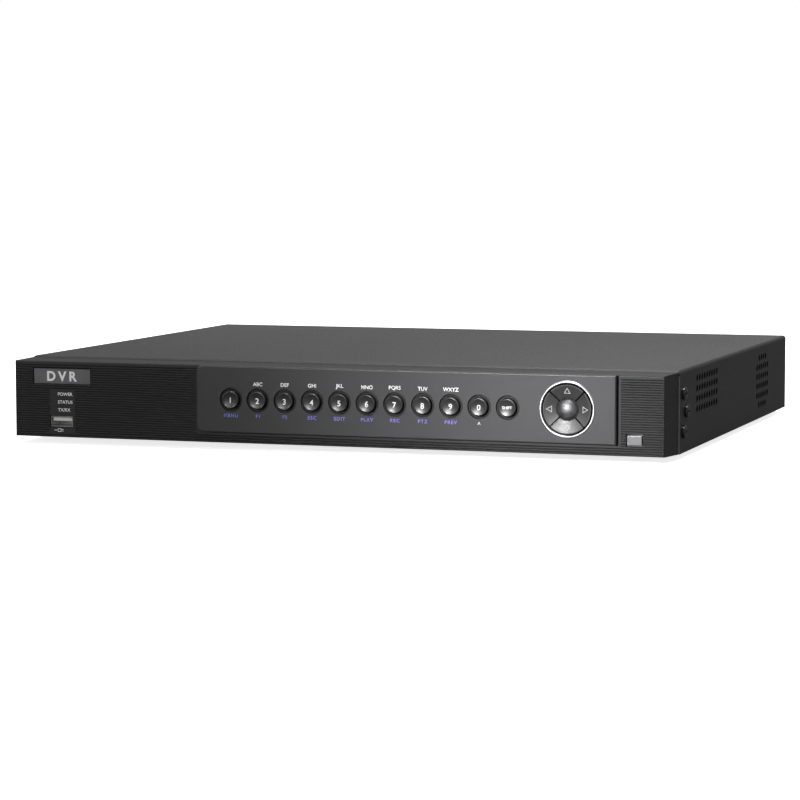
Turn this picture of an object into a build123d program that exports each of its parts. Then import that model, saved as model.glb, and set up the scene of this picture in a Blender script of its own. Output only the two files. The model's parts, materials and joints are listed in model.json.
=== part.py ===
"""Four-channel digital video recorder: steel case, moulded front, two drives, boards and rear sockets.

Row frame, millimetres: +X to the right seen from the front, +Y from the front to the rear, +Z up.
The origin is the bottom centre of the whole recorder's bounding box, on the surface that its feet stand on.
"Depth" is measured rearwards from the face of the front bezel, and "height" upwards from that surface.
"""

import math
import os

from build123d import *

# ---- Driving dimensions --------------------------------------------------------------------------
WIDTH = 379.0  # across the rear of the bezel
DEPTH = 320.0  # bezel face to the cover's rear lip
FOOT = 3.0  # height of a foot below the case
CASE = 45.0  # height of the steel case
SHEET = 1.0  # steel sheet
COVER_WIDTH = 380.0
COVER_BEND = 2.0  # outer radius of the cover's two long bends
COVER_EDGE = 0.8  # slope along the cover's front edge
GAP = 0.2  # between neighbouring pieces

BEZEL_DEPTH = 27.3
BEZEL_DROP = 0.95  # the bezel's top is this much lower than the cover, and above its underside
BEZEL_TAPER = 1.25  # each flank leans in by this much towards the face
BEZEL_RAKE = 1.15  # the underside rises by this much towards the face
WALL = 2.5  # bezel flanks
FACE_WALL = 3.0  # bezel face

RIDGE_PITCH = 1.309
RIDGE_FIRST = FOOT + 2.43  # height of the lowest groove
GROOVE = 0.8  # width of one groove between two ridges
GROOVE_DEPTH = 0.4

PANEL = (-77.0, 162.3)  # keypad panel, x from and to
PANEL_FOOT = FOOT + 6.7
PANEL_PROUD = 1.2
PANEL_SEAT = 1.5  # depth of the panel's pocket
PANEL_CORNER = 4.5
SLIT = (162.4, 164.3)  # dark slit beside the panel
SLIT_DEPTH = 2.4

KEY_PITCH = 15.91
KEY_FIRST = -56.4
KEY_HEIGHT = FOOT + 25.3
KEY_NAMES = ["1", "2", "3", "4", "5", "6", "7", "8", "9", "0", "shift"]
KEY_HOLE = 6.45  # radius of a key's hole in the panel
KEY_RADIUS = 4.95
KEY_PROUD = 1.4  # cap rim above the panel
KEY_TRAVEL = 0.8
KEY_DISH = 0.55  # hollow in a key's cap
KEY_ROUND = 0.6  # rounding of a cap's rim
WELL = 1.0  # the dark collar round a key lies this much below the panel
RUN = 0.25  # sideways clearance of a key
FLANGE = 1.0  # thickness of a key's retaining flange
STEM = 2.0  # radius of the stem that reaches the switch

PAD_X = 135.6
PAD_OUTER = 13.2  # arrow keys, outer radius
PAD_INNER = 6.25
PAD_SLIT = 0.8  # between two arrow keys
PAD_SLOPE = 1.5  # the arrow keys fall by this much towards the middle
PAD_STEM = 10.2  # radius at which an arrow key's stem stands
RING = (14.05, 15.3)  # bright ring, inner and outer radius
RING_PROUD = 0.8
KNOB_RADIUS = 5.3
KNOB_PROUD = 2.0
GUIDE = 1.2  # thickness of the guide plate behind the keys

BADGE = (-159.4, FOOT + 35.55, 34.7, 8.5)  # x, height, width, tall
BADGE_SEAT = 1.4
BADGE_SUNK = 0.5  # the plate's face lies this much below the bezel's
BADGE_GAP = 0.35  # round the plate
USB_FRONT = (-159.9, FOOT + 10.0)
USB_HOLE = (13.9, 6.5)
USB_SHELL = (13.2, 5.8)
USB_WALL = 0.35
USB_SUNK = 0.8  # the socket's mouth lies this much below the face
LAMPS = [(-165.0, FOOT + h) for h in (25.5, 21.05, 16.6)]
LAMP = (1.9, 1.0)
PLAIN = (-166.9, -151.4, FOOT + 3.0, FOOT + 28.0)  # patch without ridges: x from and to, height from and to
WINDOW = (172.1, FOOT + 9.6)  # infra-red window
WINDOW_HOLE = (9.4, 6.7)
WINDOW_SIZE = (8.0, 5.1)

BOARD = 1.6  # circuit board thickness
FRONT_BOARD = 14.0  # depth of the front board's near face
SWITCH = 6.0  # width of a tact switch
POSTS = [(-172, 37), (-90, 37), (2, 37), (94, 37), (178, 30), (-90, 14.5), (2, 14.5), (94, 14.5)]
BOSSES = [(x, FOOT + 5.9) for x in (-120, -40, 40, 120)]

MAIN_BOARD = (-183.0, 168.0, 214.0, 317.6)  # x from, x to, depth from, depth to
MAIN_HEIGHT = FOOT + 7.0
SINK = (20.0, 256.0)  # x and depth of the heat sink
CELL = (100, 240)  # x and depth of the coin cell
STANDOFFS = [(x, 306.0) for x in (-176, -33, 46, 162)] + [(x, 219.0) for x in (-176, -60, 60, 162)]

VENT = 2.2  # radius of a vent hole
VENT_PITCH = (6.2, 5.7)
VENT_CENTRE = (94.3, FOOT + 29.1)
VENT_COUNT = (9, 4)
FAN = (247.5, FOOT + 22.3)  # depth and height of the fan's axis
FAN_SIZE = 40.0
FAN_THICK = 15.0
FAN_BORE = 19.0
FAN_ROWS = [4, 6, 6, 6, 6, 4]
FAN_BLADES = 7

CHASSIS_SCREW = 1.5  # shank radii
BOARD_SCREW = 1.1
CASE_SCREWS = [(35.6, FOOT + 32.2), (42.2, FOOT + 22.1), (35.6, FOOT + 11.6)]  # depth, height
LIP_SCREWS = [-150.0, 0.0, 150.0]
LIP = 7.0  # height of the cover's rear lip

JACK_REACH = 10.0  # how far the video sockets stand out behind the cover
VIDEO_BARREL = 4.8  # radii of a video socket's barrel
VIDEO_BORE = 4.05
AUDIO_SLEEVE = 4.15  # radius and reach of an audio socket's sleeve
AUDIO_REACH = 8.0
VIDEO = [(x, FOOT + h) for x in (146.0, 128.0) for h in (14.9, 31.0)] + [(110.0, FOOT + 31.0)]
AUDIO = [(110.0, FOOT + 14.9), (94.0, FOOT + 14.9)]
VGA = (66.0, FOOT + 14.0)
VGA_SCREWS = 24.99
HDMI = (34.0, FOOT + 12.4)
USB_REAR = (10.0, FOOT + 12.4)
NETWORK = (-16.0, FOOT + 15.6)
TERMINAL = (-58.0, FOOT + 13.8)
WAYS = 8
WAY = 3.5
INLET = (-100.0, FOOT + 14.6)
ROCKER = (-130.0, FOOT + 21.0)
ROCKER_TILT = 9.0
GROUND = (-160.0, FOOT + 16.0)

FOOT_SPOTS = [(x, d) for x in (-160.0, 160.0) for d in (52.0, 290.0)]
FOOT_RADIUS = 9.0
DRIVE = (101.6, 147.0, 26.1)
DRIVE_X = [-118.0, -8.0]
DRIVE_FRONT = 42.0
DRIVE_PAD = 2.5
DATA_SIDE, POWER_SIDE = -22.0, 4.0  # a drive's two plugs, from its middle

# ---- Worked-out places -----------------------------------------------------------------------------
FRONT_REACH = PANEL_PROUD + KNOB_PROUD
FACE_Y = FRONT_REACH - (FRONT_REACH + DEPTH + JACK_REACH) / 2
CASE_TOP = FOOT + CASE
FLOOR = FOOT + SHEET
COVER_HALF = COVER_WIDTH / 2
BASE_HALF = COVER_HALF - SHEET - GAP
BEZEL_TOP = CASE_TOP - BEZEL_DROP
REAR = DEPTH - SHEET - GAP  # outer face of the rear wall
FRONT_WALL = BEZEL_DEPTH + GAP  # near face of the inner front wall
GUIDE_BACK = FACE_WALL + GUIDE
FLANGE_FRONT = GUIDE_BACK + 0.1
SWITCH_FRONT = FRONT_BOARD - 3.5
PLUNGER = SWITCH_FRONT - 1.2
KEY_BACK = PLUNGER - KEY_TRAVEL - 0.1
KEY_X = [KEY_FIRST + i * KEY_PITCH for i in range(len(KEY_NAMES))]
ARROWS = {"right": 0, "up": 90, "left": 180, "down": 270}
MAIN_TOP = MAIN_HEIGHT + BOARD
DRIVE_FOOT = FLOOR + DRIVE_PAD
DRIVE_REAR = DRIVE_FRONT + DRIVE[1]
PLUG_DEPTH = MAIN_BOARD[2] + 13
PIVOT = REAR - 1.0  # depth of the rocker's pin
VIDEO_MOUTH = DEPTH + JACK_REACH
AUDIO_MOUTH = DEPTH + AUDIO_REACH
FAN_IN = BASE_HALF - SHEET - FAN_THICK  # the fan's inner side; its outer side meets the flange


def across(depth):
    """Plane facing the front: sketch (x, height); extrude(-d) goes rearwards."""
    return Plane(origin=(0, FACE_Y + depth, 0), x_dir=(1, 0, 0), z_dir=(0, -1, 0))


def beside(x):
    """Plane facing right: sketch (depth, height); extrude(d) goes to the right."""
    return Plane(origin=(x, FACE_Y, 0), x_dir=(0, 1, 0), z_dir=(1, 0, 0))


def level(height):
    """Plane facing up: sketch (x, depth); extrude(d) goes up."""
    return Plane(origin=(0, FACE_Y, height), x_dir=(1, 0, 0), z_dir=(0, 0, 1))


def along(angle, depth):
    """Plane on the pad's axis, facing the front, whose sketch x points to one arrow key."""
    turn = math.radians(angle)
    x_dir = (math.cos(turn), 0, math.sin(turn))
    return Plane(origin=(PAD_X, FACE_Y + depth, KEY_HEIGHT), x_dir=x_dir, z_dir=(0, -1, 0))


def spread(middle, size):
    """The from-to pair of a length about its middle."""
    return (middle - size / 2, middle + size / 2)


def block(x, depth, height, mode=Mode.ADD):
    """A square-edged block between three from-to pairs, in the part being built."""
    with Locations((sum(x) / 2, FACE_Y + sum(depth) / 2, sum(height) / 2)):
        Box(x[1] - x[0], depth[1] - depth[0], height[1] - height[0], mode=mode)


def turned(places, outline, mode=Mode.ADD):
    """Turns an outline of (depth, radius) points about a front-to-rear axis at each (x, height)."""
    for x, height in places:
        with BuildSketch(beside(x)) as profile:
            with BuildLine():
                Polyline(*[(depth, height + radius) for depth, radius in outline], close=True)
            make_face()
        revolve(profile.sketch, axis=Axis((x, 0, height), (0, 1, 0)), mode=mode)


def save(piece, label):
    """Writes one finished piece as its own STEP file."""
    piece.part.label = label
    export_step(piece.part, f"parts/{label}.step")


def screws(label, groups, head, head_height, shank, length):
    """Pan-head screws with crossed recesses; a group is a plane, places on it and the heads' way, 1 or -1."""
    with BuildPart() as group:
        for plane, places, way in groups:
            with BuildSketch(plane):
                with Locations(*places):
                    Circle(head)
            extrude(amount=way * head_height)
            rims = group.edges(Select.LAST).group_by(Axis(plane.origin, plane.z_dir))[-1 if way > 0 else 0]
            fillet(rims, 0.6 * head_height)
        for plane, places, way in groups:
            with BuildSketch(plane):
                with Locations(*places):
                    Circle(shank)
            extrude(amount=-way * length)
            with BuildSketch(plane.offset(way * head_height)):
                with Locations(*places):
                    Rectangle(1.1 * head, 0.24 * head)
                    Rectangle(0.24 * head, 1.1 * head)
            extrude(amount=-way * 0.55 * head_height, mode=Mode.SUBTRACT)
    save(group, label)


def lead(route, radii, thickness):
    """A cable along straight runs joined by tangent arcs, in the part being built."""
    points = [(x, FACE_Y + depth, height) for x, depth, height in route]
    with BuildLine() as path:
        FilletPolyline(*points, radius=radii)
    with BuildSketch(Plane(origin=path.line @ 0, z_dir=path.line % 0)) as section:
        Circle(thickness / 2)
    sweep(section.sketch, path=path.line)


os.makedirs("parts", exist_ok=True)

# ---- Case: base tray, cover, feet ----------------------------------------------------------------
with BuildPart() as base_tray:
    block(spread(0, 2 * BASE_HALF), (FRONT_WALL, REAR), (FOOT, FLOOR))
    block(spread(0, 2 * BASE_HALF), (FRONT_WALL, FRONT_WALL + SHEET), (FOOT, CASE_TOP - 3))
    block(spread(0, 2 * BASE_HALF), (REAR - SHEET, REAR), (FOOT, CASE_TOP - SHEET - GAP))
    # side flanges: tall at both ends, low between them
    low, tall, run = FLOOR + 9, CASE_TOP - 4, 22.0
    for x in (-BASE_HALF, BASE_HALF - SHEET):
        with BuildSketch(beside(x)):
            with BuildLine():
                Polyline(
                    (FRONT_WALL, FOOT),
                    (FRONT_WALL, tall),
                    (FRONT_WALL + run, tall),
                    (FRONT_WALL + run + 6, low),
                    (REAR - run - 6, low),
                    (REAR - run, tall),
                    (REAR, tall),
                    (REAR, FOOT),
                    close=True,
                )
            make_face()
        extrude(amount=SHEET)
    # the right flange rises behind the fan and opens for its air
    block((BASE_HALF - SHEET, BASE_HALF), spread(FAN[0], FAN_SIZE + 8), (FOOT, CASE_TOP - 2))
    with BuildSketch(beside(BASE_HALF - SHEET)):
        with Locations(FAN):
            Circle(FAN_BORE)
            with GridLocations(32, 32, 2, 2):
                Circle(1.6)
    extrude(amount=SHEET, mode=Mode.SUBTRACT)
    with BuildSketch(beside(-BASE_HALF)):
        with Locations(*CASE_SCREWS):
            Circle(1.6)
    extrude(amount=2 * BASE_HALF, mode=Mode.SUBTRACT)
    # inner front wall: a window for the front panel's cable and the bezel's screw holes
    with BuildSketch(across(FRONT_WALL)):
        with Locations((-166, FOOT + 24)):
            SlotOverall(30, 16)
        with Locations(*BOSSES):
            Circle(1.7)
    extrude(amount=-SHEET, mode=Mode.SUBTRACT)
    # floor: raised pads under the drives, cooling slots and screw holes
    with BuildSketch(level(FLOOR)):
        for x in DRIVE_X:
            with Locations((x, DRIVE_FRONT + DRIVE[1] / 2)):
                with GridLocations(95.25, 101.6, 2, 2):
                    Circle(3.1)
    extrude(amount=DRIVE_PAD)
    with BuildSketch(level(FOOT)):
        for x in DRIVE_X:
            with Locations((x, DRIVE_FRONT + DRIVE[1] / 2)):
                with GridLocations(9, 44, 7, 3):
                    SlotOverall(34, 3.2, rotation=90)
                with GridLocations(95.25, 101.6, 2, 2):
                    Circle(1.8)
        with Locations((95, 160)):
            with GridLocations(9, 44, 9, 2):
                SlotOverall(34, 3.2, rotation=90)
    extrude(amount=SHEET + DRIVE_PAD, mode=Mode.SUBTRACT)
    # rear wall: an opening for each socket, and a band of vent holes
    with BuildSketch(across(REAR)):
        with Locations(*VIDEO):
            Circle(6.2)
        with Locations(*AUDIO):
            Circle(5.4)
        with Locations(VGA):
            Rectangle(17.4, 9.2)
            with GridLocations(VGA_SCREWS, 1, 2, 1):
                Circle(1.7)
        with Locations(HDMI):
            Rectangle(15.6, 6.4)
        with Locations(USB_REAR):
            Rectangle(14.2, 6.6)
        with Locations(NETWORK):
            Rectangle(16.6, 14.6)
        with Locations(TERMINAL):
            Rectangle(WAYS * WAY + 1.8, 9.4)
        with Locations(INLET):
            Rectangle(9.6, 12.4)
        with Locations(ROCKER):
            Rectangle(13.4, 19.4)
        with Locations(GROUND):
            Circle(1.7)
        with Locations((-56, FOOT + 34.0)):
            with GridLocations(VENT_PITCH[0], VENT_PITCH[1], 19, 2):
                Circle(VENT - 0.4)
        with Locations(*[(x, CASE_TOP - LIP / 2) for x in LIP_SCREWS]):
            Circle(1.6)
    extrude(amount=SHEET, mode=Mode.SUBTRACT)
save(base_tray, "base_tray")

with BuildPart() as top_cover:
    with BuildSketch(across(BEZEL_DEPTH)) as arch:
        with Locations((0, FOOT + CASE / 2)):
            Rectangle(COVER_WIDTH, CASE)
        fillet(arch.vertices().group_by(Axis.Y)[-1], COVER_BEND)
        with Locations((0, FOOT + CASE / 2 - SHEET)):
            Rectangle(COVER_WIDTH - 2 * SHEET, CASE, mode=Mode.SUBTRACT)
    extrude(amount=BEZEL_DEPTH - DEPTH)
    block(spread(0, COVER_WIDTH - 2 * SHEET), (DEPTH - SHEET, DEPTH), (CASE_TOP - LIP, CASE_TOP - SHEET))
    # the front edge slopes down to the bezel
    with BuildSketch(beside(-COVER_HALF)):
        with BuildLine():
            Polyline(
                (BEZEL_DEPTH, CASE_TOP),
                (BEZEL_DEPTH + COVER_EDGE, CASE_TOP),
                (BEZEL_DEPTH, CASE_TOP - COVER_EDGE),
                close=True,
            )
        make_face()
    extrude(amount=COVER_WIDTH, mode=Mode.SUBTRACT)
    # vents and screw holes in both flanks, and the fan's grille in the right one
    with BuildSketch(beside(-COVER_HALF)):
        with Locations(VENT_CENTRE):
            with GridLocations(VENT_PITCH[0], VENT_PITCH[1], VENT_COUNT[0], VENT_COUNT[1]):
                Circle(VENT)
        with Locations(*CASE_SCREWS):
            Circle(1.9)
    extrude(amount=COVER_WIDTH, mode=Mode.SUBTRACT)
    with BuildSketch(beside(COVER_HALF - SHEET)):
        for row, count in enumerate(FAN_ROWS):
            height = FAN[1] + (row - (len(FAN_ROWS) - 1) / 2) * VENT_PITCH[1]
            with Locations((FAN[0], height)):
                with GridLocations(VENT_PITCH[0], 1, count, 1):
                    Circle(VENT)
    extrude(amount=SHEET, mode=Mode.SUBTRACT)
    with BuildSketch(across(DEPTH)):
        with Locations(*[(x, CASE_TOP - LIP / 2) for x in LIP_SCREWS]):
            Circle(1.9)
    extrude(amount=SHEET, mode=Mode.SUBTRACT)
save(top_cover, "top_cover")

with BuildPart() as rubber_feet:
    with BuildSketch(level(FOOT)):
        with Locations(*FOOT_SPOTS):
            Circle(FOOT_RADIUS)
    extrude(amount=-FOOT, taper=4)
    fillet(rubber_feet.edges().group_by(Axis.Z)[0], 0.5)
    with BuildSketch(level(0)):
        with Locations(*FOOT_SPOTS):
            Circle(3.6)
    extrude(amount=1.2, mode=Mode.SUBTRACT)
save(rubber_feet, "rubber_feet")

# ---- Front bezel ---------------------------------------------------------------------------------
with BuildPart() as front_bezel:
    with BuildSketch(across(0)):
        with Locations((0, (FOOT + BEZEL_RAKE + BEZEL_TOP) / 2)):
            Rectangle(WIDTH - 2 * BEZEL_TAPER, BEZEL_TOP - FOOT - BEZEL_RAKE)
    with BuildSketch(across(BEZEL_DEPTH)):
        with Locations((0, (FOOT + BEZEL_TOP) / 2)):
            Rectangle(WIDTH, BEZEL_TOP - FOOT)
    loft(ruled=True)
    fillet(front_bezel.faces().sort_by(Axis.Y)[0].edges(), 0.6)
    with BuildSketch(across(FACE_WALL)):
        with Locations((0, (FOOT + BEZEL_RAKE + BEZEL_TOP) / 2)):
            Rectangle(WIDTH - 2 * (BEZEL_TAPER + WALL), BEZEL_TOP - FOOT - BEZEL_RAKE - 2 * 2.0)
    with BuildSketch(across(BEZEL_DEPTH)):
        with Locations((0, (FOOT + BEZEL_TOP) / 2)):
            Rectangle(WIDTH - 2 * WALL, BEZEL_TOP - FOOT - 2 * 1.8)
    loft(ruled=True, mode=Mode.SUBTRACT)
    # posts for the front board, and bosses that the case's screws bite into
    with BuildSketch(across(FACE_WALL)):
        with Locations(*[(x, FOOT + h) for x, h in POSTS]):
            Circle(2.5)
    extrude(amount=FACE_WALL - FRONT_BOARD)
    with BuildSketch(across(FACE_WALL)):
        with Locations(*BOSSES):
            Circle(3.2)
    extrude(amount=FACE_WALL - BEZEL_DEPTH)
    with BuildSketch(across(BEZEL_DEPTH)):
        with Locations(*BOSSES):
            Circle(CHASSIS_SCREW + 0.1)
    extrude(amount=10, mode=Mode.SUBTRACT)
    with BuildSketch(across(FRONT_BOARD)):
        with Locations(*[(x, FOOT + h) for x, h in POSTS]):
            Circle(BOARD_SCREW + 0.1)
    extrude(amount=6, mode=Mode.SUBTRACT)
    # pocket for the keypad panel, open at the top, with the slit beside it
    with BuildSketch(across(0)) as pocket:
        with Locations(((PANEL[0] + PANEL[1]) / 2, (PANEL_FOOT + BEZEL_TOP + 0.5) / 2)):
            Rectangle(PANEL[1] - PANEL[0] + 0.2, BEZEL_TOP + 0.5 - PANEL_FOOT + 0.2)
        fillet(pocket.vertices().group_by(Axis.X)[0], PANEL_CORNER)
    extrude(amount=-PANEL_SEAT, mode=Mode.SUBTRACT)
    block(SLIT, (-1, SLIT_DEPTH), (PANEL_FOOT - 0.3, BEZEL_TOP + 1), mode=Mode.SUBTRACT)
    # openings through the face
    with BuildSketch(across(0)):
        with Locations(*[(x, KEY_HEIGHT) for x in KEY_X]):
            Circle(KEY_HOLE + 0.1)
        with Locations((PAD_X, KEY_HEIGHT)):
            Circle(RING[0] + 0.4)
        with Locations(USB_FRONT):
            Rectangle(*USB_HOLE)
        with Locations(*LAMPS):
            Rectangle(*LAMP)
        with Locations(WINDOW):
            Rectangle(*WINDOW_HOLE)
    extrude(amount=-FACE_WALL, mode=Mode.SUBTRACT)
    block(
        spread(BADGE[0], BADGE[2] + 2 * BADGE_GAP),
        (-1, BADGE_SEAT),
        spread(BADGE[1], BADGE[3] + 2 * BADGE_GAP),
        mode=Mode.SUBTRACT,
    )
    # ridges: fine grooves across the whole face, apart from the plain patch and the panel
    end = WIDTH / 2 - BEZEL_TAPER - 0.6
    rows = [RIDGE_FIRST + i * RIDGE_PITCH for i in range(31)]
    beneath = [row for row in rows if row < PANEL_FOOT - 1]
    level_rows = [row for row in rows if row >= PANEL_FOOT - 1]
    clear = [row for row in level_rows if row > PLAIN[3]]
    stretches = [
        (-end, end, [row for row in beneath if row < PLAIN[2]]),
        (-end, PLAIN[0], [row for row in rows if row >= PLAIN[2]]),
        (PLAIN[1], end, [row for row in beneath if row >= PLAIN[2]]),
        (PLAIN[1], PANEL[0] - 0.6, level_rows),
        (PLAIN[0], PLAIN[1], clear),
        (SLIT[1] + 0.4, end, level_rows),
    ]
    for start, stop, heights in stretches:
        with BuildSketch(beside(start)):
            for height in heights:
                with BuildLine():
                    Polyline(
                        (0, height - GROOVE / 2), (0, height + GROOVE / 2), (GROOVE_DEPTH, height), close=True
                    )
                make_face()
        extrude(amount=stop - start, mode=Mode.SUBTRACT)
save(front_bezel, "front_bezel")

with BuildPart() as keypad_panel:
    with BuildSketch(across(PANEL_SEAT)) as plate:
        with Locations(((PANEL[0] + PANEL[1]) / 2, (PANEL_FOOT + BEZEL_TOP + 0.4) / 2)):
            Rectangle(PANEL[1] - PANEL[0], BEZEL_TOP + 0.4 - PANEL_FOOT)
        fillet(plate.vertices().group_by(Axis.X)[0], PANEL_CORNER - 0.1)
        with Locations(((PANEL[0] + PANEL[1]) / 2, BEZEL_TOP + 0.45)):
            Rectangle(PANEL[1] - PANEL[0], 1.0, mode=Mode.SUBTRACT)
    extrude(amount=PANEL_SEAT + PANEL_PROUD)
    fillet(keypad_panel.faces().sort_by(Axis.Y)[0].edges(), 0.9)
    with BuildSketch(across(PANEL_SEAT)):
        with Locations(*[(x, KEY_HEIGHT) for x in KEY_X]):
            Circle(KEY_HOLE)
        with Locations((PAD_X, KEY_HEIGHT)):
            Circle(RING[0] + 0.7)
    extrude(amount=PANEL_SEAT + PANEL_PROUD, mode=Mode.SUBTRACT)
    chamfer(keypad_panel.edges().filter_by(GeomType.CIRCLE).group_by(Axis.Y)[0], 0.25)
save(keypad_panel, "keypad_panel")

# guide plate behind the face: a collar round every key, four windows for the arrow keys' stems
with BuildPart() as key_guide:
    with BuildSketch(across(FACE_WALL)):
        with Locations(((KEY_X[0] + KEY_X[-1]) / 2, KEY_HEIGHT)):
            Rectangle(KEY_X[-1] - KEY_X[0] + 18, 15)
        with Locations(((KEY_X[-1] + PAD_X) / 2, KEY_HEIGHT)):
            Rectangle(PAD_X - KEY_X[-1], 9)
        with Locations((PAD_X, KEY_HEIGHT)):
            Circle(RING[1] + 0.8)
    extrude(amount=-GUIDE)
    with BuildSketch(across(FACE_WALL)):
        with Locations(*[(x, KEY_HEIGHT) for x in KEY_X]):
            Circle(KEY_HOLE - 0.1)
        with Locations((PAD_X, KEY_HEIGHT)):
            Circle(PAD_INNER - RUN)
    extrude(amount=FACE_WALL + PANEL_PROUD - WELL)
    with BuildSketch(across(GUIDE_BACK)):
        with Locations(*[(x, KEY_HEIGHT) for x in KEY_X]):
            Circle(KEY_RADIUS + RUN)
        with Locations((PAD_X, KEY_HEIGHT)):
            Circle(KNOB_RADIUS + RUN)
            with PolarLocations(PAD_STEM, 4):
                Rectangle(5.0 + 2 * RUN, 5.0 + 2 * RUN)
    extrude(amount=GUIDE_BACK + PANEL_PROUD, mode=Mode.SUBTRACT)
save(key_guide, "key_guide")

with BuildPart() as pad_ring:
    turned([(PAD_X, KEY_HEIGHT)], [
        (PANEL_SEAT - 0.1, RING[0]),
        (PANEL_SEAT - 0.1, RING[0] + 0.6),
        (-PANEL_PROUD, RING[0] + 0.6),
        (-PANEL_PROUD, RING[1]),
        (-PANEL_PROUD - 0.4 * RING_PROUD, RING[1]),
        (-PANEL_PROUD - RING_PROUD, RING[1] - 0.5),
        (-PANEL_PROUD - RING_PROUD, RING[0] + 0.4),
        (-PANEL_PROUD - 0.5 * RING_PROUD, RING[0]),
    ])
save(pad_ring, "pad_ring")

with BuildPart() as badge_plate:
    with BuildSketch(across(BADGE_SEAT)):
        with Locations(BADGE[:2]):
            RectangleRounded(BADGE[2], BADGE[3], 0.5)
    extrude(amount=BADGE_SEAT - BADGE_SUNK)
    fillet(badge_plate.faces().sort_by(Axis.Y)[0].edges(), 0.15)
save(badge_plate, "badge_plate")

with BuildPart() as light_pipes:
    for x, height in LAMPS:
        block(spread(x, LAMP[0] - 0.1), (0.05, FRONT_BOARD - 1.6), spread(height, LAMP[1] - 0.1))
        block(spread(x, LAMP[0] + 1.6), (FACE_WALL, FACE_WALL + 1), spread(height, LAMP[1] + 1.2))
save(light_pipes, "light_pipes")

with BuildPart() as ir_window:
    block(spread(WINDOW[0], WINDOW_SIZE[0]), (-0.3, FACE_WALL + 1), spread(WINDOW[1], WINDOW_SIZE[1]))
    fillet(ir_window.faces().sort_by(Axis.Y)[0].edges(), 0.4)
    block(spread(WINDOW[0], 11.5), (FACE_WALL, FACE_WALL + 1), spread(WINDOW[1], 8.8))
save(ir_window, "ir_window")

# ---- Keys ----------------------------------------------------------------------------------------
for name, x in zip(KEY_NAMES, KEY_X):
    face = -PANEL_PROUD - KEY_PROUD
    with BuildPart() as key:
        with BuildSketch(beside(x)):
            with BuildLine():
                dish = ThreePointArc(
                    (face + KEY_DISH, KEY_HEIGHT),
                    (face + 0.75 * KEY_DISH, KEY_HEIGHT + (KEY_RADIUS - KEY_ROUND) / 2),
                    (face, KEY_HEIGHT + KEY_RADIUS - KEY_ROUND),
                )
                brow = ThreePointArc(
                    dish @ 1,
                    (face + 0.29 * KEY_ROUND, KEY_HEIGHT + KEY_RADIUS - 0.29 * KEY_ROUND),
                    (face + KEY_ROUND, KEY_HEIGHT + KEY_RADIUS),
                )
                Polyline(
                    brow @ 1,
                    (FLANGE_FRONT, KEY_HEIGHT + KEY_RADIUS),
                    (FLANGE_FRONT, KEY_HEIGHT + KEY_HOLE),
                    (FLANGE_FRONT + FLANGE, KEY_HEIGHT + KEY_HOLE),
                    (FLANGE_FRONT + FLANGE, KEY_HEIGHT + STEM),
                    (KEY_BACK, KEY_HEIGHT + STEM),
                    (KEY_BACK, KEY_HEIGHT),
                    dish @ 0,
                )
            make_face()
        revolve(axis=Axis((x, 0, KEY_HEIGHT), (0, 1, 0)))
    save(key, f"key_{name}")

for name, angle in ARROWS.items():
    face = -PANEL_PROUD - RING_PROUD + 0.2
    slope = PAD_SLOPE / (PAD_OUTER - PAD_INNER)
    back = FACE_WALL - KEY_TRAVEL - 0.15
    with BuildPart() as arrow:
        with BuildSketch(along(angle, back)):
            Circle(PAD_OUTER)
            Circle(PAD_INNER, mode=Mode.SUBTRACT)
            with BuildLine():
                corner = PAD_SLIT / math.sqrt(2)
                Polyline((corner, 0), (corner + 20, 20), (corner + 20, -20), close=True)
            make_face(mode=Mode.INTERSECT)
        extrude(amount=back - face)
        fillet(arrow.edges().filter_by(Axis.Y), 0.5)
        # the face falls towards the middle of the pad
        rim = PAD_OUTER - 0.5
        outline = [(face - 1, 0), (face + slope * rim, 0), (face, rim), (face - 1, rim)]
        turned([(PAD_X, KEY_HEIGHT)], outline, mode=Mode.SUBTRACT)
        with BuildSketch(along(angle, 1.0)):
            with Locations((PAD_STEM, 0)):
                Rectangle(5, 5)
        extrude(amount=1.0 - FLANGE_FRONT)
        with BuildSketch(along(angle, FLANGE_FRONT)):
            with Locations((PAD_STEM, 0)):
                Rectangle(7, 7)
        extrude(amount=-FLANGE)
        with BuildSketch(along(angle, FLANGE_FRONT)):
            with Locations((PAD_STEM, 0)):
                Circle(STEM)
        extrude(amount=FLANGE_FRONT - KEY_BACK)
    save(arrow, f"arrow_{name}")

with BuildPart() as enter_key:
    with BuildSketch(beside(PAD_X)):
        with BuildLine():
            dome = ThreePointArc(
                (-FRONT_REACH, KEY_HEIGHT),
                (-FRONT_REACH + 0.63, KEY_HEIGHT + 3.0),
                (-FRONT_REACH + 2.5, KEY_HEIGHT + KNOB_RADIUS),
            )
            Polyline(
                dome @ 1,
                (FLANGE_FRONT, KEY_HEIGHT + KNOB_RADIUS),
                (FLANGE_FRONT, KEY_HEIGHT + KNOB_RADIUS + 0.9),
                (FLANGE_FRONT + FLANGE, KEY_HEIGHT + KNOB_RADIUS + 0.9),
                (FLANGE_FRONT + FLANGE, KEY_HEIGHT + STEM),
                (KEY_BACK, KEY_HEIGHT + STEM),
                (KEY_BACK, KEY_HEIGHT),
                dome @ 0,
            )
        make_face()
    revolve(axis=Axis((PAD_X, 0, KEY_HEIGHT), (0, 1, 0)))
save(enter_key, "enter_key")

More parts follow.
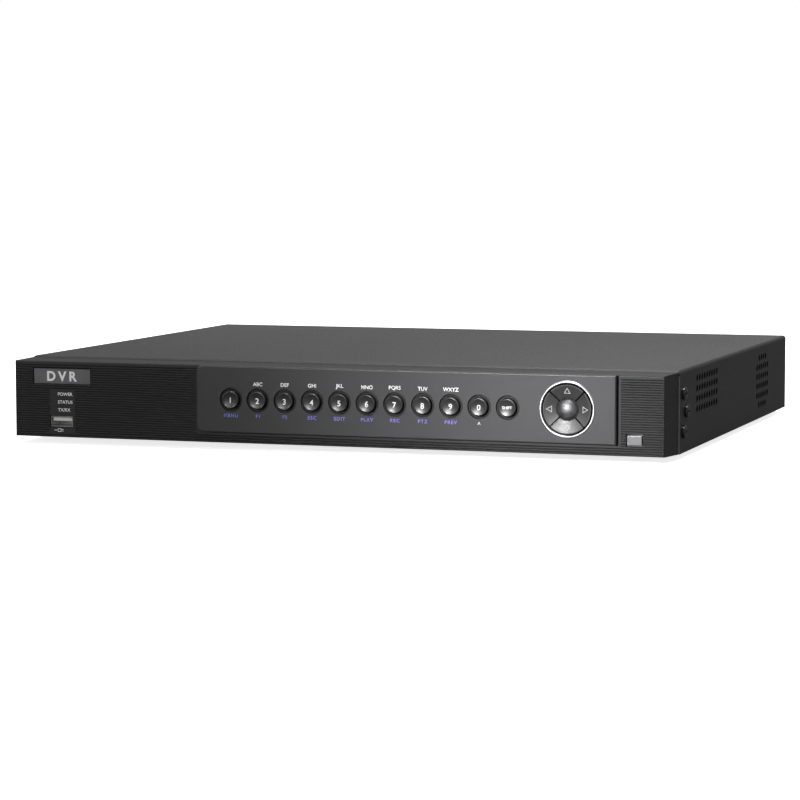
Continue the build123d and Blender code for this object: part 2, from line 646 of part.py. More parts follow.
# ---- Front board and what it carries -------------------------------------------------------------
with BuildPart() as front_board:
    block((-182, 182), (FRONT_BOARD, FRONT_BOARD + BOARD), (FOOT + 11, FOOT + 40.5))
    for side in (-1, 1):
        block(spread(side * 164, 36), (FRONT_BOARD, FRONT_BOARD + BOARD), (FOOT + 4.5, FOOT + 12))
    with BuildSketch(across(FRONT_BOARD)):
        with Locations(*[(x, FOOT + h) for x, h in POSTS]):
            Circle(1.6)
    extrude(amount=-BOARD, mode=Mode.SUBTRACT)
save(front_board, "front_board")

SWITCH_SPOTS = [(x, KEY_HEIGHT) for x in KEY_X + [PAD_X]] + [
    (
        PAD_X + PAD_STEM * math.cos(math.radians(angle)),
        KEY_HEIGHT + PAD_STEM * math.sin(math.radians(angle)),
    )
    for angle in ARROWS.values()
]
with BuildPart() as tact_switches:
    with BuildSketch(across(FRONT_BOARD)):
        with Locations(*SWITCH_SPOTS):
            Rectangle(SWITCH, SWITCH)
    extrude(amount=FRONT_BOARD - SWITCH_FRONT)
    with BuildSketch(across(SWITCH_FRONT)):
        with Locations(*SWITCH_SPOTS):
            Circle(1.7)
    extrude(amount=SWITCH_FRONT - PLUNGER)
save(tact_switches, "tact_switches")

with BuildPart() as receiver_and_lamps:
    block(spread(WINDOW[0], 7.0), (FRONT_BOARD - 4, FRONT_BOARD), spread(WINDOW[1], 6.0))
    with Locations((WINDOW[0], FACE_Y + FRONT_BOARD - 4, WINDOW[1])):
        Sphere(2.2)
    for x, height in LAMPS:
        block(spread(x, 2.0), (FRONT_BOARD - 1.0, FRONT_BOARD), spread(height, 1.25))
save(receiver_and_lamps, "receiver_and_lamps")

# ---- Type-A sockets: folded metal shells and the tongues inside ----------------------------------
# place, depth of the mouth, length, and way: 1 if it opens forwards
USB_SOCKETS = [(USB_FRONT, USB_SUNK, FRONT_BOARD - USB_SUNK, 1), (USB_REAR, REAR + 0.6, 14.6, -1)]


def inward(mouth, way, start, stop):
    """The from-to depths of a stretch measured inwards from a socket's mouth."""
    return tuple(sorted((mouth + way * start, mouth + way * stop)))


with BuildPart() as usb_shells:
    for (x, height), mouth, length, way in USB_SOCKETS:
        wide, tall = USB_SHELL[0] - 2 * USB_WALL, USB_SHELL[1] - 2 * USB_WALL
        block(spread(x, USB_SHELL[0]), inward(mouth, way, 0, length), spread(height, USB_SHELL[1]))
        hollow = inward(mouth, way, -1, length - 0.5)
        block(spread(x, wide), hollow, spread(height, tall), mode=Mode.SUBTRACT)
save(usb_shells, "usb_shells")

with BuildPart() as usb_tongues:
    for (x, height), mouth, length, way in USB_SOCKETS:
        block(spread(x, 11.3), inward(mouth, way, 1, length - 2), (height + 0.2, height + 2.1))
        wide, tall = USB_SHELL[0] - 2 * USB_WALL - 0.2, USB_SHELL[1] - 2 * USB_WALL - 0.1
        block(spread(x, wide), inward(mouth, way, length - 2, length - 0.5), spread(height, tall))
save(usb_tongues, "usb_tongues")

# ---- Fasteners -----------------------------------------------------------------------------------
DRIVE_HOLES = [
    (x + sx * 95.25 / 2, DRIVE_FRONT + DRIVE[1] / 2 + sy * 101.6 / 2)
    for x in DRIVE_X
    for sx in (-1, 1)
    for sy in (-1, 1)
]
screws(
    "board_screws",
    [
        (across(FRONT_BOARD + BOARD), [(x, FOOT + h) for x, h in POSTS], -1),
        (level(MAIN_TOP), STANDOFFS, 1),
    ],
    head=2.6,
    head_height=1.6,
    shank=BOARD_SCREW,
    length=6,
)
screws(
    "chassis_screws",
    [(across(FRONT_WALL + SHEET), BOSSES, -1), (level(FOOT), DRIVE_HOLES, -1)],
    head=2.9,
    head_height=1.6,
    shank=CHASSIS_SCREW,
    length=8,
)
screws(
    "case_screws",
    [
        (beside(-COVER_HALF), CASE_SCREWS, -1),
        (beside(COVER_HALF), CASE_SCREWS, 1),
        (across(REAR), [GROUND], -1),
        (across(DEPTH), [(x, CASE_TOP - LIP / 2) for x in LIP_SCREWS], -1),
    ],
    head=3.5,
    head_height=1.9,
    shank=1.55,
    length=6,
)

# ---- Drives --------------------------------------------------------------------------------------
for number, x in enumerate(DRIVE_X, 1):
    with BuildPart() as drive:
        block(spread(x, DRIVE[0]), (DRIVE_FRONT, DRIVE_REAR), (DRIVE_FOOT, DRIVE_FOOT + DRIVE[2] - 2))
        fillet(drive.edges().filter_by(Axis.Z), 3)
        lid = (DRIVE_FOOT + DRIVE[2] - 2.5, DRIVE_FOOT + DRIVE[2])
        block(spread(x, DRIVE[0] - 5), (DRIVE_FRONT + 3, DRIVE_REAR - 6), lid)
        # rear shelf with the two contact blocks
        shelf = (DRIVE_REAR - 7, DRIVE_REAR + 1)
        block(spread(x - 6, 60), shelf, (DRIVE_FOOT - 1, DRIVE_FOOT + 7), mode=Mode.SUBTRACT)
        with BuildSketch(level(DRIVE_FOOT)):
            with Locations(*[spot for spot in DRIVE_HOLES if abs(spot[0] - x) < DRIVE[0] / 2]):
                Circle(CHASSIS_SCREW + 0.1)
        extrude(amount=6, mode=Mode.SUBTRACT)
    save(drive, f"drive_{number}")

# headers on the two boards, and the plugs in them and in the drives
with BuildPart() as cable_connectors:
    for x in DRIVE_X:
        for side, width in ((DATA_SIDE, 12), (POWER_SIDE, 20)):
            plug = (DRIVE_REAR - 7, DRIVE_REAR + 6)
            block(spread(x + side, width), plug, (DRIVE_FOOT + 0.8, DRIVE_FOOT + 6))
            block(spread(x + side, width - 2), spread(PLUG_DEPTH, 5), (MAIN_TOP + 5, MAIN_TOP + 12))
    block(spread(-172, 14), spread(PLUG_DEPTH, 5), (MAIN_TOP + 5, MAIN_TOP + 12))
    block(spread(-168, 14), (FRONT_BOARD + BOARD + 5, FRONT_BOARD + BOARD + 10), spread(FOOT + 24, 6))
    block(spread(150, 8), spread(FAN[0] + 14, 4), (MAIN_TOP + 4, MAIN_TOP + 10))
    for x in DRIVE_X:
        for side, width in ((DATA_SIDE, 12), (POWER_SIDE, 20)):
            block(spread(x + side, width), spread(PLUG_DEPTH, 7), (MAIN_TOP, MAIN_TOP + 4.8))
    block(spread(-172, 16), spread(PLUG_DEPTH, 7), (MAIN_TOP, MAIN_TOP + 4.8))
    block(spread(-168, 16), (FRONT_BOARD + BOARD, FRONT_BOARD + BOARD + 4.8), spread(FOOT + 24, 8))
    block(spread(150, 10), spread(FAN[0] + 14, 6), (MAIN_TOP, MAIN_TOP + 3.8))
save(cable_connectors, "cable_connectors")

with BuildPart() as drive_cables:
    for x in DRIVE_X:
        for side, thickness in ((DATA_SIDE, 3.0), (POWER_SIDE, 4.0)):
            lead(
                [
                    (x + side, DRIVE_REAR + 6, DRIVE_FOOT + 3.4),
                    (x + side, DRIVE_REAR + 16, DRIVE_FOOT + 3.4),
                    (x + side, DRIVE_REAR + 16, CASE_TOP - 13),
                    (x + side, PLUG_DEPTH, CASE_TOP - 13),
                    (x + side, PLUG_DEPTH, MAIN_TOP + 12),
                ],
                [8.0, 9.0, 9.0],
                thickness,
            )
save(drive_cables, "drive_cables")

with BuildPart() as board_cables:
    # from the front board, along the left flank, to the main board
    lead(
        [
            (-168, FRONT_BOARD + BOARD + 10, FOOT + 24),
            (-168, FRONT_BOARD + BOARD + 21, FOOT + 24),
            (-178, 54, FOOT + 27),
            (-178, 196, FOOT + 32),
            (-172, PLUG_DEPTH, FOOT + 32),
            (-172, PLUG_DEPTH, MAIN_TOP + 12),
        ],
        [14.0, 20.0, 40.0, 9.0],
        4.0,
    )
    # from the fan
    lead(
        [
            (FAN_IN, FAN[0] + 14, FAN[1] + 3),
            (150, FAN[0] + 14, FAN[1] + 3),
            (150, FAN[0] + 14, MAIN_TOP + 10),
        ],
        [5.0],
        2.0,
    )
save(board_cables, "board_cables")

# ---- Main board and what it carries --------------------------------------------------------------
with BuildPart() as main_board:
    block(MAIN_BOARD[:2], MAIN_BOARD[2:], (MAIN_HEIGHT, MAIN_TOP))
    with BuildSketch(level(MAIN_HEIGHT)):
        with Locations(*STANDOFFS):
            Circle(1.7)
    extrude(amount=BOARD, mode=Mode.SUBTRACT)
save(main_board, "main_board")

with BuildPart() as standoffs:
    with BuildSketch(level(FLOOR)):
        with Locations(*STANDOFFS):
            RegularPolygon(3.2, 6)
            Circle(BOARD_SCREW + 0.1, mode=Mode.SUBTRACT)
    extrude(amount=MAIN_HEIGHT - FLOOR)
save(standoffs, "standoffs")

with BuildPart() as board_components:
    # processor, memory, decoders and network chip
    block(spread(SINK[0], 27), spread(SINK[1], 27), (MAIN_TOP, MAIN_TOP + 2))
    for depth in (242, 256, 270):
        block(spread(SINK[0] + 32, 11), spread(depth, 9), (MAIN_TOP, MAIN_TOP + 1.2))
    for x in (98, 128, -16):
        block(spread(x, 13), spread(277, 13), (MAIN_TOP, MAIN_TOP + 1.4))
    # coils
    with BuildSketch(level(MAIN_TOP)):
        with Locations(*[(x, 258) for x in (-120, -104, -88)]):
            RectangleRounded(10, 10, 2)
    extrude(amount=5)
    # holder of the coin cell, and the buzzer
    with BuildSketch(level(MAIN_TOP)):
        with Locations(CELL):
            Circle(12)
        with Locations((132, CELL[1])):
            Circle(6)
    extrude(amount=3)
    with BuildSketch(level(MAIN_TOP + 0.9)):
        with Locations(CELL):
            Circle(10.15)
    extrude(amount=3, mode=Mode.SUBTRACT)
    with BuildSketch(level(MAIN_TOP + 3)):
        with Locations((132, CELL[1])):
            Circle(6)
            Circle(1, mode=Mode.SUBTRACT)
    extrude(amount=5.5)
save(board_components, "board_components")

with BuildPart() as heat_sink:
    block(spread(SINK[0], 40), spread(SINK[1], 40), (MAIN_TOP + 2, MAIN_TOP + 4.5))
    for i in range(9):
        block(spread(SINK[0] + (i - 4) * 4.8, 1.4), spread(SINK[1], 40), (MAIN_TOP + 4.5, MAIN_TOP + 16))
save(heat_sink, "heat_sink")

with BuildPart() as capacitors:
    with BuildSketch(level(MAIN_TOP)):
        for x, depth in ((-150, 250), (-138, 250), (-150, 264), (-138, 264), (-104, 284), (-92, 284)):
            with Locations((x, depth)):
                Circle(4)
    extrude(amount=11.5)
    fillet(capacitors.edges().group_by(Axis.Z)[-1], 0.6)
save(capacitors, "capacitors")

with BuildPart() as coin_cell:
    with BuildSketch(level(MAIN_TOP + 0.9)):
        with Locations(CELL):
            Circle(10)
    extrude(amount=3.2)
    fillet(coin_cell.edges().group_by(Axis.Z)[-1], 0.4)
save(coin_cell, "coin_cell")

# ---- Rear sockets --------------------------------------------------------------------------------
with BuildPart() as video_jacks:
    barrel = [
        (304, 0),
        (304, 6.0),
        (DEPTH, 6.0),
        (DEPTH, VIDEO_BARREL),
        (VIDEO_MOUTH, VIDEO_BARREL),
        (VIDEO_MOUTH, VIDEO_BORE),
        (309, VIDEO_BORE),
        (309, 0),
    ]
    turned(VIDEO, barrel)
    # two bayonet studs on each barrel
    for x, height in VIDEO:
        with Locations((x, FACE_Y + VIDEO_MOUTH - 3.2, height)):
            Cylinder(0.95, 2 * VIDEO_BARREL + 1.6)
            Cylinder(VIDEO_BORE, 8, rotation=(90, 0, 0), mode=Mode.SUBTRACT)
save(video_jacks, "video_jacks")

with BuildPart() as audio_jacks:
    sleeve = [
        (306, 4.3),
        (306, 5.2),
        (REAR + 1, 5.2),
        (REAR + 1, AUDIO_SLEEVE),
        (AUDIO_MOUTH, AUDIO_SLEEVE),
        (AUDIO_MOUTH, 3.6),
        (310, 3.6),
        (310, 4.3),
    ]
    turned(AUDIO, sleeve)
save(audio_jacks, "audio_jacks")

with BuildPart() as jack_inserts:
    video_insert = [
        (309, 0.55),
        (309, 4.0),
        (312, 4.0),
        (312, 2.35),
        (VIDEO_MOUTH - 1.5, 2.35),
        (VIDEO_MOUTH - 1.5, 0.9),
        (312, 0.55),
    ]
    turned(VIDEO, video_insert)
    audio_insert = [
        (306, 0),
        (306, 4.25),
        (309.9, 4.25),
        (309.9, 3.55),
        (AUDIO_MOUTH - 0.5, 3.55),
        (AUDIO_MOUTH - 0.5, 1.65),
        (312, 1.65),
        (312, 0),
    ]
    turned(AUDIO, audio_insert)
save(jack_inserts, "jack_inserts")

with BuildPart() as jack_housings:
    for x in sorted({x for x, height in VIDEO}):
        block(spread(x, 15.5), (290, 304), (MAIN_TOP, FOOT + 38.5))
    for x, height in AUDIO:
        block(spread(x, 12), (304 if x > 100 else 292, 306), (MAIN_TOP, height + 6))
save(jack_housings, "jack_housings")

with BuildPart() as vga_socket:
    with BuildSketch(across(REAR - SHEET)):
        with Locations(VGA):
            RectangleRounded(16.6, 8.4, 2.2)
    extrude(amount=-(SHEET + 6))
    block(spread(VGA[0], 30.8), (REAR - SHEET - 1, REAR - SHEET), spread(VGA[1], 10.4))
    block(spread(VGA[0], 30.8), (REAR - SHEET - 12, REAR - SHEET - 1), (MAIN_TOP, VGA[1] + 5.2))
    with BuildSketch(across(REAR)):
        with Locations(VGA):
            with GridLocations(VGA_SCREWS, 1, 2, 1):
                Circle(1.6)
            with Locations((0, 2.3), (0, 0), (0, -2.3)):
                with GridLocations(2.3, 1, 5, 1):
                    Circle(0.5)
    extrude(amount=4, both=True, mode=Mode.SUBTRACT)
    with BuildSketch(across(REAR + 6)):
        with Locations(VGA):
            with Locations((0, 2.3), (0, 0), (0, -2.3)):
                with GridLocations(2.3, 1, 5, 1):
                    Circle(0.5)
    extrude(amount=6, mode=Mode.SUBTRACT)
save(vga_socket, "vga_socket")

with BuildPart() as vga_posts:
    with BuildSketch(across(REAR)):
        with Locations(VGA):
            with GridLocations(VGA_SCREWS, 1, 2, 1):
                RegularPolygon(2.8, 6)
    extrude(amount=-5)
    with BuildSketch(across(REAR)):
        with Locations(VGA):
            with GridLocations(VGA_SCREWS, 1, 2, 1):
                Circle(1.5)
    extrude(amount=3.5)
    with BuildSketch(across(REAR + 5)):
        with Locations(VGA):
            with GridLocations(VGA_SCREWS, 1, 2, 1):
                Circle(1.35)
    extrude(amount=5, mode=Mode.SUBTRACT)
save(vga_posts, "vga_posts")

with BuildPart() as hdmi_socket:
    with BuildSketch(across(REAR + 0.6)) as outline:
        with Locations(HDMI):
            Rectangle(15.0, 5.6)
        chamfer(outline.vertices().group_by(Axis.Y)[0], 1.6)
        offset(amount=-0.45, mode=Mode.SUBTRACT)
    extrude(amount=12)
    block(spread(HDMI[0], 11.4), (REAR - 8, REAR - 0.6), spread(HDMI[1] + 0.2, 1.5))
    block(spread(HDMI[0], 15.0), (REAR - 11.4, REAR - 8), (MAIN_TOP, HDMI[1] + 2.8))
save(hdmi_socket, "hdmi_socket")

with BuildPart() as network_jack:
    block(spread(NETWORK[0], 16.0), (REAR - 16, REAR + 0.6), (MAIN_TOP, NETWORK[1] + 6.6))
    block(spread(NETWORK[0], 11.8), (REAR - 11, REAR + 1), spread(NETWORK[1] + 1, 8.0), mode=Mode.SUBTRACT)
    block(spread(NETWORK[0], 5.6), (REAR - 11, REAR + 1), spread(NETWORK[1] - 4.0, 2.4), mode=Mode.SUBTRACT)
save(network_jack, "network_jack")

with BuildPart() as terminal_block:
    block(spread(TERMINAL[0], WAYS * WAY + 1), (REAR - 9, REAR + 6), spread(TERMINAL[1], 8.6))
    with BuildSketch(across(REAR + 6)):
        with Locations((TERMINAL[0], TERMINAL[1] - 1.6)):
            with GridLocations(WAY, 1, WAYS, 1):
                Rectangle(2.3, 2.6)
    extrude(amount=6, mode=Mode.SUBTRACT)
    with BuildSketch(level(TERMINAL[1] + 4.3)):
        with Locations((TERMINAL[0], REAR + 3.3)):
            with GridLocations(WAY, 1, WAYS, 1):
                Circle(1.45)
    extrude(amount=-2.6, mode=Mode.SUBTRACT)
save(terminal_block, "terminal_block")

with BuildPart() as power_inlet:
    block(spread(INLET[0], 9.0), (REAR - 14, REAR + 0.8), (MAIN_TOP, INLET[1] + 5.4))
    with Locations((INLET[0], FACE_Y + REAR - 4.1, INLET[1])):
        Cylinder(3.1, 10, rotation=(90, 0, 0), mode=Mode.SUBTRACT)
    pin = [(REAR - 10, 0), (REAR - 10, 1.05), (REAR - 0.6, 1.05), (REAR - 0.2, 0.65), (REAR - 0.2, 0)]
    turned([INLET], pin)
save(power_inlet, "power_inlet")

# ---- Rocker switch -------------------------------------------------------------------------------
with BuildPart() as switch_housing:
    block(spread(ROCKER[0], 15.2), (REAR, REAR + 1.4), spread(ROCKER[1], 21.4))
    fillet(switch_housing.edges().filter_by(Axis.Y), 1.2)
    block(spread(ROCKER[0], 13.2), (REAR - 13, REAR), spread(ROCKER[1], 19.2))
    block(spread(ROCKER[0], 10.8), (REAR - 9, REAR + 2), spread(ROCKER[1], 17.2), mode=Mode.SUBTRACT)
    with Locations((ROCKER[0], FACE_Y + PIVOT, ROCKER[1])):
        Cylinder(1.25, 20, rotation=(0, 90, 0), mode=Mode.SUBTRACT)
    for height in (ROCKER[1] - 4.5, ROCKER[1] + 4.5):
        block(spread(ROCKER[0], 4.8), (REAR - 21, REAR - 13), spread(height, 0.8))
save(switch_housing, "switch_housing")

with BuildPart() as rocker:
    with BuildSketch(beside(ROCKER[0] - 5.1)):
        with BuildLine():
            belly = ThreePointArc(
                (PIVOT, ROCKER[1] + 7.7), (PIVOT - 6.4, ROCKER[1]), (PIVOT, ROCKER[1] - 7.7)
            )
            Polyline(
                belly @ 1,
                (PIVOT + 3.4, ROCKER[1] - 7.7),
                (PIVOT + 2.2, ROCKER[1]),
                (PIVOT + 3.4, ROCKER[1] + 7.7),
                belly @ 0,
            )
        make_face()
    extrude(amount=10.2)
    with Locations((ROCKER[0], FACE_Y + PIVOT, ROCKER[1])):
        Cylinder(1.2, 12.8, rotation=(0, 90, 0))
pivot_axis = Axis((ROCKER[0], FACE_Y + PIVOT, ROCKER[1]), (1, 0, 0))
rocker.part = rocker.part.rotate(pivot_axis, -ROCKER_TILT)
save(rocker, "rocker")

# ---- Fan -----------------------------------------------------------------------------------------


def fan_disc(x, radius, thick, mode=Mode.ADD):
    """A disc on the fan's axis, from x to x + thick, in the part being built."""
    with Locations((x + thick / 2, FACE_Y + FAN[0], FAN[1])):
        Cylinder(radius, thick, rotation=(0, 90, 0), mode=mode)


with BuildPart() as fan_frame:
    with BuildSketch(beside(FAN_IN)):
        with Locations(FAN):
            RectangleRounded(FAN_SIZE, FAN_SIZE, 3)
            Circle(FAN_BORE, mode=Mode.SUBTRACT)
            with GridLocations(32, 32, 2, 2):
                Circle(1.7, mode=Mode.SUBTRACT)
    extrude(amount=FAN_THICK)
    # motor plate on four arms at the inner side, with the bearing tube
    with BuildSketch(beside(FAN_IN)):
        with Locations(FAN):
            Rectangle(2 * FAN_BORE + 0.6, 3, rotation=30)
            Rectangle(2 * FAN_BORE + 0.6, 3, rotation=120)
            Circle(9)
    extrude(amount=2.2)
    fan_disc(FAN_IN + 2.2, 3.0, 7.5)
    fan_disc(FAN_IN + 1.2, 1.05, 9, mode=Mode.SUBTRACT)
save(fan_frame, "fan_frame")

with BuildPart() as fan_impeller:
    fan_disc(FAN_IN + 3.0, 9.2, 10.4)
    fan_disc(FAN_IN + 3.0, 8.2, 9.2, mode=Mode.SUBTRACT)
    for i in range(FAN_BLADES):
        turn = 2 * math.pi * i / FAN_BLADES
        radial = Vector(0, math.cos(turn), math.sin(turn))
        root = Vector(FAN_IN + 8.2, FACE_Y + FAN[0], FAN[1]) + radial * 8.7
        with BuildSketch(Plane(origin=root, x_dir=(1, 0, 0), z_dir=radial)):
            with BuildLine():
                Polyline((-4.2, -4.6), (-3.0, -4.6), (4.2, 4.6), (3.0, 4.6), close=True)
            make_face()
        extrude(amount=9.6)
    with BuildSketch(beside(FAN_IN + 3)):
        with Locations(FAN):
            Circle(18.2)
    extrude(amount=10.4, mode=Mode.INTERSECT)
    fan_disc(FAN_IN + 1.6, 1.0, 11)
save(fan_impeller, "fan_impeller")

screws(
    "fan_screws",
    [(beside(FAN_IN), [(FAN[0] + sy * 16, FAN[1] + sz * 16) for sy in (-1, 1) for sz in (-1, 1)], -1)],
    head=2.8, head_height=1.8, shank=1.5, length=FAN_THICK + 0.9,
)
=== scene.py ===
"""Looks of a four-channel video recorder: materials and printed legends on the fixed CAD frame."""
import json
import math

import bmesh
import bpy
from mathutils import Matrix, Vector
from mathutils.bvhtree import BVHTree


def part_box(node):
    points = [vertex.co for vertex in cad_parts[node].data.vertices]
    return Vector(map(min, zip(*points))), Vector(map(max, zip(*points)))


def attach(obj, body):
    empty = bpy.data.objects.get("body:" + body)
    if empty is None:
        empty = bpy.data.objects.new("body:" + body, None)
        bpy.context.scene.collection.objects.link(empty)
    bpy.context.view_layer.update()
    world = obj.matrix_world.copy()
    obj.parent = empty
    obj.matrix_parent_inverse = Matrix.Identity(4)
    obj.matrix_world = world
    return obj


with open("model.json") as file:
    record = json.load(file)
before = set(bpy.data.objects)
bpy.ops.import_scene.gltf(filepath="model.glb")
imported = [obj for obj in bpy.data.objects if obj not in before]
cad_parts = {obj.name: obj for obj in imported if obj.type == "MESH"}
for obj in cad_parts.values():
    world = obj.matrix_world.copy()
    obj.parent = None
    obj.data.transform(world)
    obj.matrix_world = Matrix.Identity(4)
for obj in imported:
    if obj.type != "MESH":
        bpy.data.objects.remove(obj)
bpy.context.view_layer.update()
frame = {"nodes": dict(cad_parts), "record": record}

MM = 0.001
NODES = frame["nodes"]
LIFT = 0.03 * MM  # print stands this much above the surface
SINK = 0.03 * MM  # and reaches this much below it
TIGHT = 0.01 * MM  # half the width of a sharp step in a mask
EDGE_TOP = 3 * MM  # the painted highlight on the cover's cut front edge stops this far below the top
DIM = 0.26  # brightness of the surround, as the recorder sees it
SUN = 2.7  # strength of the overhead light
SOFT_SPOT = 0.12  # radius of a spot light's source, in metres
FLOOR_SIZE = 12.0  # half the floor's side, in metres
LINE_STEPS = 6  # pieces in each straight stretch of a printed line
MITRE_LIMIT = 0.35  # a printed line's corner reaches out to at most half the line's width over this

# the camera looks at its aim from the right of the front and from above, in degrees and metres
CAMERA_AIM = (-0.0086, -0.0133, 0.0164)
CAMERA_AZIMUTH, CAMERA_ELEVATION, CAMERA_DISTANCE, CAMERA_ROLL = 18.587, 5.153, 1.7222, 0.09
CAMERA_LENS, CAMERA_SENSOR = 129.95, 36.0

# printed words and marks: sizes, and distances from the parts they belong to
DIGIT_SIZE, DIGIT_DROP = 4.3 * MM, 0.3 * MM
LETTER_SIZE, LETTER_RISE = 2.9 * MM, 8.9 * MM
FUNCTION_SIZE, FUNCTION_DROP = 2.7 * MM, 8.8 * MM
MODE_SIZE, MODE_DROP = 2.4 * MM, 8.85 * MM
SHIFT_SIZE = 2.2 * MM
LAMP_SIZE, LAMP_GAP = 2.6 * MM, 1.4 * MM
BADGE_SIZE = 7.4 * MM
ARROW_REACH = 9.6 * MM  # from the pad's middle to an arrow mark
ARROW_TIP, ARROW_BASE, ARROW_HALF, ARROW_LINE = 1.7 * MM, 1.0 * MM, 1.55 * MM, 0.36 * MM
SIGN_LEFT, SIGN_DROP, SIGN_LINE = 1.2 * MM, 2.0 * MM, 0.3 * MM
REAR_SIZE, REAR_RISE, MARK_LEFT, AUDIO_LEFT = 2.2 * MM, 2.8 * MM, 9 * MM, 4 * MM

FUNCTIONS = ["MENU", "F1", "F2", "ESC", "EDIT", "PLAY", "REC", "PTZ", "PREV"]
LETTERS = ["ABC", "DEF", "GHI", "JKL", "MNO", "PQRS", "TUV", "WXYZ"]
DIGITS = ["1", "2", "3", "4", "5", "6", "7", "8", "9", "0"]
ARROWS = {"up": 90, "left": 180, "down": 270, "right": 0}


# ---- Places, all from the frame ------------------------------------------------------------------
def middle(node):
    """Centre of a CAD node's box."""
    low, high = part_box(node)
    return (low + high) / 2


def islands(node):
    """Boxes of the separate solids in a CAD node, as (low, high) corners, from left to right."""
    shape = bmesh.new()
    shape.from_mesh(NODES[node].data)
    bmesh.ops.remove_doubles(shape, verts=shape.verts, dist=1e-6)
    waiting = set(shape.verts)
    boxes = []
    while waiting:
        reach = [waiting.pop()]
        found = []
        while reach:
            vertex = reach.pop()
            found.append(vertex.co.copy())
            for edge in vertex.link_edges:
                other = edge.other_vert(vertex)
                if other in waiting:
                    waiting.remove(other)
                    reach.append(other)
        low = Vector([min(point[i] for point in found) for i in range(3)])
        high = Vector([max(point[i] for point in found) for i in range(3)])
        boxes.append((low, high))
    shape.free()
    return sorted(boxes, key=lambda corners: (round(corners[0].x, 4), round(corners[0].z, 4)))


# ---- Materials -----------------------------------------------------------------------------------
class Finish:
    """A procedural material: a Principled surface fed by noise in the object's own coordinates."""

    def __init__(self, name, roughness=0.5, metallic=0.0, specular=0.5, coat=0.0, coat_roughness=0.1):
        self.material = bpy.data.materials.new(name)
        self.material.use_nodes = True
        self.tree = self.material.node_tree
        self.surface = self.tree.nodes["Principled BSDF"]
        self.surface.inputs["Roughness"].default_value = roughness
        self.surface.inputs["Metallic"].default_value = metallic
        self.surface.inputs["Specular IOR Level"].default_value = specular
        self.surface.inputs["Coat Weight"].default_value = coat
        self.surface.inputs["Coat Roughness"].default_value = coat_roughness
        self.place = self.tree.nodes.new("ShaderNodeTexCoord").outputs["Object"]

    def feed(self, socket, value):
        """Links an output to a socket, or sets the socket to a constant."""
        if isinstance(value, bpy.types.NodeSocket):
            self.tree.links.new(value, socket)
        else:
            socket.default_value = value

    def noise(self, scale, detail=2.0, stretch=(1, 1, 1)):
        """Noise from 0 to 1; scale counts features along a metre."""
        mapping = self.tree.nodes.new("ShaderNodeMapping")
        mapping.inputs["Scale"].default_value = [scale * s for s in stretch]
        self.feed(mapping.inputs["Vector"], self.place)
        node = self.tree.nodes.new("ShaderNodeTexNoise")
        node.inputs["Scale"].default_value = 1.0
        node.inputs["Detail"].default_value = detail
        self.feed(node.inputs["Vector"], mapping.outputs["Vector"])
        return node.outputs["Fac"]

    def axis(self, name):
        """One of the object's coordinates, in metres."""
        node = self.tree.nodes.new("ShaderNodeSeparateXYZ")
        self.feed(node.inputs["Vector"], self.place)
        return node.outputs[name]

    def between(self, value, start, end, low=0.0, high=1.0):
        """Maps a value from one range to another, held at the ends."""
        node = self.tree.nodes.new("ShaderNodeMapRange")
        for key, number in (("From Min", start), ("From Max", end), ("To Min", low), ("To Max", high)):
            node.inputs[key].default_value = number
        self.feed(node.inputs["Value"], value)
        return node.outputs["Result"]

    def maths(self, operation, first, second=0.0):
        """One arithmetic step on two values."""
        node = self.tree.nodes.new("ShaderNodeMath")
        node.operation = operation
        self.feed(node.inputs[0], first)
        self.feed(node.inputs[1], second)
        return node.outputs["Value"]

    def mix(self, factor, dark, light):
        """Blends two colours, each a triple or another blend."""
        node = self.tree.nodes.new("ShaderNodeMix")
        node.data_type = "RGBA"
        self.feed(node.inputs["Factor"], factor)
        for socket, colour in ((node.inputs["A"], dark), (node.inputs["B"], light)):
            self.feed(socket, colour if isinstance(colour, bpy.types.NodeSocket) else (*colour, 1.0))
        return node.outputs["Result"]

    def colour(self, value):
        """Sets or links the base colour."""
        self.feed(self.surface.inputs["Base Color"], value)

    def gloss(self, value):
        """Sets or links the roughness."""
        self.feed(self.surface.inputs["Roughness"], value)

    def speckle(self, cloud, grain, share=0.5):
        """Two noises added up to at most 1, the first taking this share."""
        soft = self.between(cloud, 0.35, 0.65, 0.0, share)
        return self.maths("ADD", soft, self.between(grain, 0.3, 0.7, 0.0, 1.0 - share))

    def bump(self, height, depth, strength=1.0):
        """Relief of a depth in metres, added to any bump that is already there."""
        node = self.tree.nodes.new("ShaderNodeBump")
        node.inputs["Strength"].default_value = strength
        node.inputs["Distance"].default_value = depth
        self.feed(node.inputs["Height"], height)
        before = self.surface.inputs["Normal"].links
        if before:
            self.feed(node.inputs["Normal"], before[0].from_socket)
        self.feed(self.surface.inputs["Normal"], node.outputs["Normal"])


def grey(level, tint=(1.0, 1.0, 1.0)):
    """A grey of this albedo, with a tint."""
    return tuple(level * t for t in tint)


def powder_coat(name, level, tint=(1.0, 1.0, 1.03), painted_edge_highlight=None):
    """Fine-textured paint on steel sheet, with a faint cloudiness; the optional hook blends a painted
    highlight in.
    """
    finish = Finish(name, specular=0.38)
    cloud = finish.noise(18, 3)
    speck = finish.noise(2600, 2)
    shade = finish.speckle(cloud, speck)
    paint = finish.mix(shade, grey(level * 0.88, tint), grey(level * 1.12, tint))
    finish.colour(painted_edge_highlight(finish, paint) if painted_edge_highlight else paint)
    finish.gloss(finish.between(finish.noise(900, 3), 0.3, 0.7, 0.40, 0.56))
    finish.bump(finish.noise(2400, 2), 0.05 * MM, 0.55)
    finish.bump(finish.noise(25, 1), 0.12 * MM, 0.25)
    return finish.material


